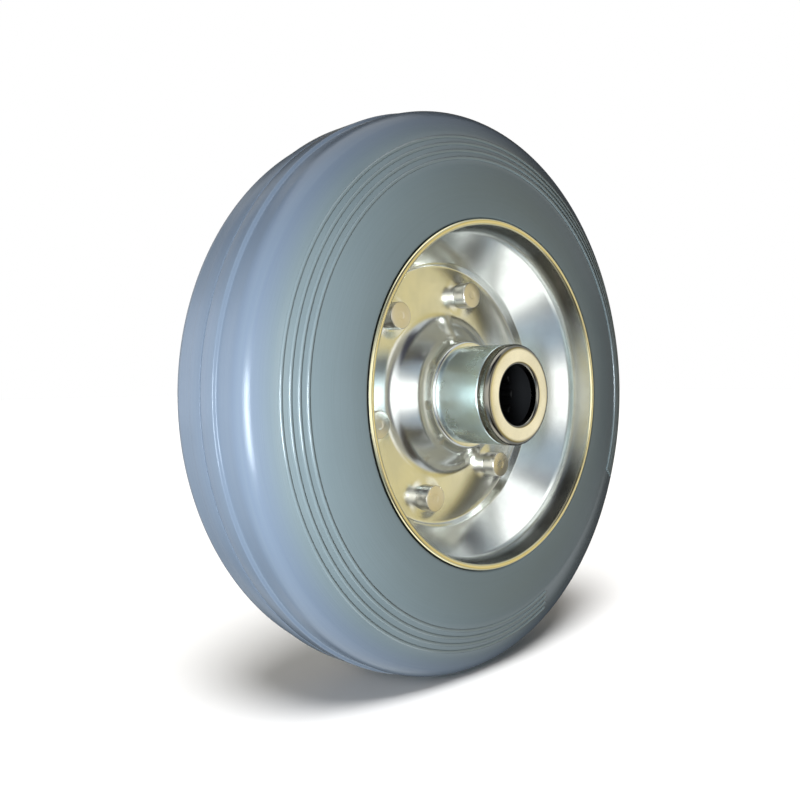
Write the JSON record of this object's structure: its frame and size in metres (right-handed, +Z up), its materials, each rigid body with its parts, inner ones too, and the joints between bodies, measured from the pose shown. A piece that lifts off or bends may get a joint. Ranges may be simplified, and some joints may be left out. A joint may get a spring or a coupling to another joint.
{
  "type": "castor wheel",
  "caption": "Castor wheel with a solid rubber tyre on a riveted pressed-steel rim, turning on a roller bearing in a tubular hub.",
  "frame": {"origin": "the wheel's centre, on the axle's axis at mid-width", "axes": "+Y along the axle, away from the side that the picture shows; +Z up; the wheel spins about +Y"},
  "size_m": [0.2, 0.075, 0.2],
  "materials": {
    "tyre_rubber": "satin moulded rubber",
    "rim_steel": "bright zinc plate, faintly yellow",
    "rivet_steel": "bright zinc plate, faintly yellow",
    "tube_steel": "satin zinc plate",
    "ring_steel": "turned, bright zinc plate",
    "cage_plastic": "moulded black",
    "roller_steel": "ground and hardened"
  },
  "bodies": {
    "wheel": {"tyre": "tyre_rubber", "rim_front": "rim_steel", "rim_back": "rim_steel", "rim_rivets": "rivet_steel", "hub_tube": "tube_steel", "end_ring_front": "ring_steel", "end_ring_back": "ring_steel"},
    "cage": {"roller_cage": "cage_plastic"},
    "roller_01": {"roller_01": "roller_steel"},
    "roller_02": {"roller_02": "roller_steel"},
    "roller_03": {"roller_03": "roller_steel"},
    "roller_04": {"roller_04": "roller_steel"},
    "roller_05": {"roller_05": "roller_steel"},
    "roller_06": {"roller_06": "roller_steel"},
    "roller_07": {"roller_07": "roller_steel"},
    "roller_08": {"roller_08": "roller_steel"},
    "roller_09": {"roller_09": "roller_steel"},
    "roller_10": {"roller_10": "roller_steel"},
    "roller_11": {"roller_11": "roller_steel"},
    "roller_12": {"roller_12": "roller_steel"}
  },
  "joints": [
    {"name": "cage_spin", "type": "hinge", "parent": "wheel", "child": "cage", "pos_m": [0, 0, 0], "axis": [0, 1, 0], "continuous": true},
    {"name": "roller_01_spin", "type": "hinge", "parent": "cage", "child": "roller_01", "pos_m": [0.01203, 0, 0], "axis": [0, 1, 0], "continuous": true},
    {"name": "roller_02_spin", "type": "hinge", "parent": "cage", "child": "roller_02", "pos_m": [0.01042, 0, 0.00602], "axis": [0, 1, 0], "continuous": true},
    {"name": "roller_03_spin", "type": "hinge", "parent": "cage", "child": "roller_03", "pos_m": [0.00602, 0, 0.01042], "axis": [0, 1, 0], "continuous": true},
    {"name": "roller_04_spin", "type": "hinge", "parent": "cage", "child": "roller_04", "pos_m": [0, 0, 0.01203], "axis": [0, 1, 0], "continuous": true},
    {"name": "roller_05_spin", "type": "hinge", "parent": "cage", "child": "roller_05", "pos_m": [-0.00602, 0, 0.01042], "axis": [0, 1, 0], "continuous": true},
    {"name": "roller_06_spin", "type": "hinge", "parent": "cage", "child": "roller_06", "pos_m": [-0.01042, 0, 0.00602], "axis": [0, 1, 0], "continuous": true},
    {"name": "roller_07_spin", "type": "hinge", "parent": "cage", "child": "roller_07", "pos_m": [-0.01203, 0, 0], "axis": [0, 1, 0], "continuous": true},
    {"name": "roller_08_spin", "type": "hinge", "parent": "cage", "child": "roller_08", "pos_m": [-0.01042, 0, -0.00602], "axis": [0, 1, 0], "continuous": true},
    {"name": "roller_09_spin", "type": "hinge", "parent": "cage", "child": "roller_09", "pos_m": [-0.00602, 0, -0.01042], "axis": [0, 1, 0], "continuous": true},
    {"name": "roller_10_spin", "type": "hinge", "parent": "cage", "child": "roller_10", "pos_m": [0, 0, -0.01203], "axis": [0, 1, 0], "continuous": true},
    {"name": "roller_11_spin", "type": "hinge", "parent": "cage", "child": "roller_11", "pos_m": [0.00602, 0, -0.01042], "axis": [0, 1, 0], "continuous": true},
    {"name": "roller_12_spin", "type": "hinge", "parent": "cage", "child": "roller_12", "pos_m": [0.01042, 0, -0.00602], "axis": [0, 1, 0], "continuous": true}
  ],
  "couplings": [
    {"joint": "roller_01_spin", "follows": "cage_spin", "ratio": -7.015},
    {"joint": "roller_02_spin", "follows": "cage_spin", "ratio": -7.015},
    {"joint": "roller_03_spin", "follows": "cage_spin", "ratio": -7.015},
    {"joint": "roller_04_spin", "follows": "cage_spin", "ratio": -7.015},
    {"joint": "roller_05_spin", "follows": "cage_spin", "ratio": -7.015},
    {"joint": "roller_06_spin", "follows": "cage_spin", "ratio": -7.015},
    {"joint": "roller_07_spin", "follows": "cage_spin", "ratio": -7.015},
    {"joint": "roller_08_spin", "follows": "cage_spin", "ratio": -7.015},
    {"joint": "roller_09_spin", "follows": "cage_spin", "ratio": -7.015},
    {"joint": "roller_10_spin", "follows": "cage_spin", "ratio": -7.015},
    {"joint": "roller_11_spin", "follows": "cage_spin", "ratio": -7.015},
    {"joint": "roller_12_spin", "follows": "cage_spin", "ratio": -7.015}
  ]
}
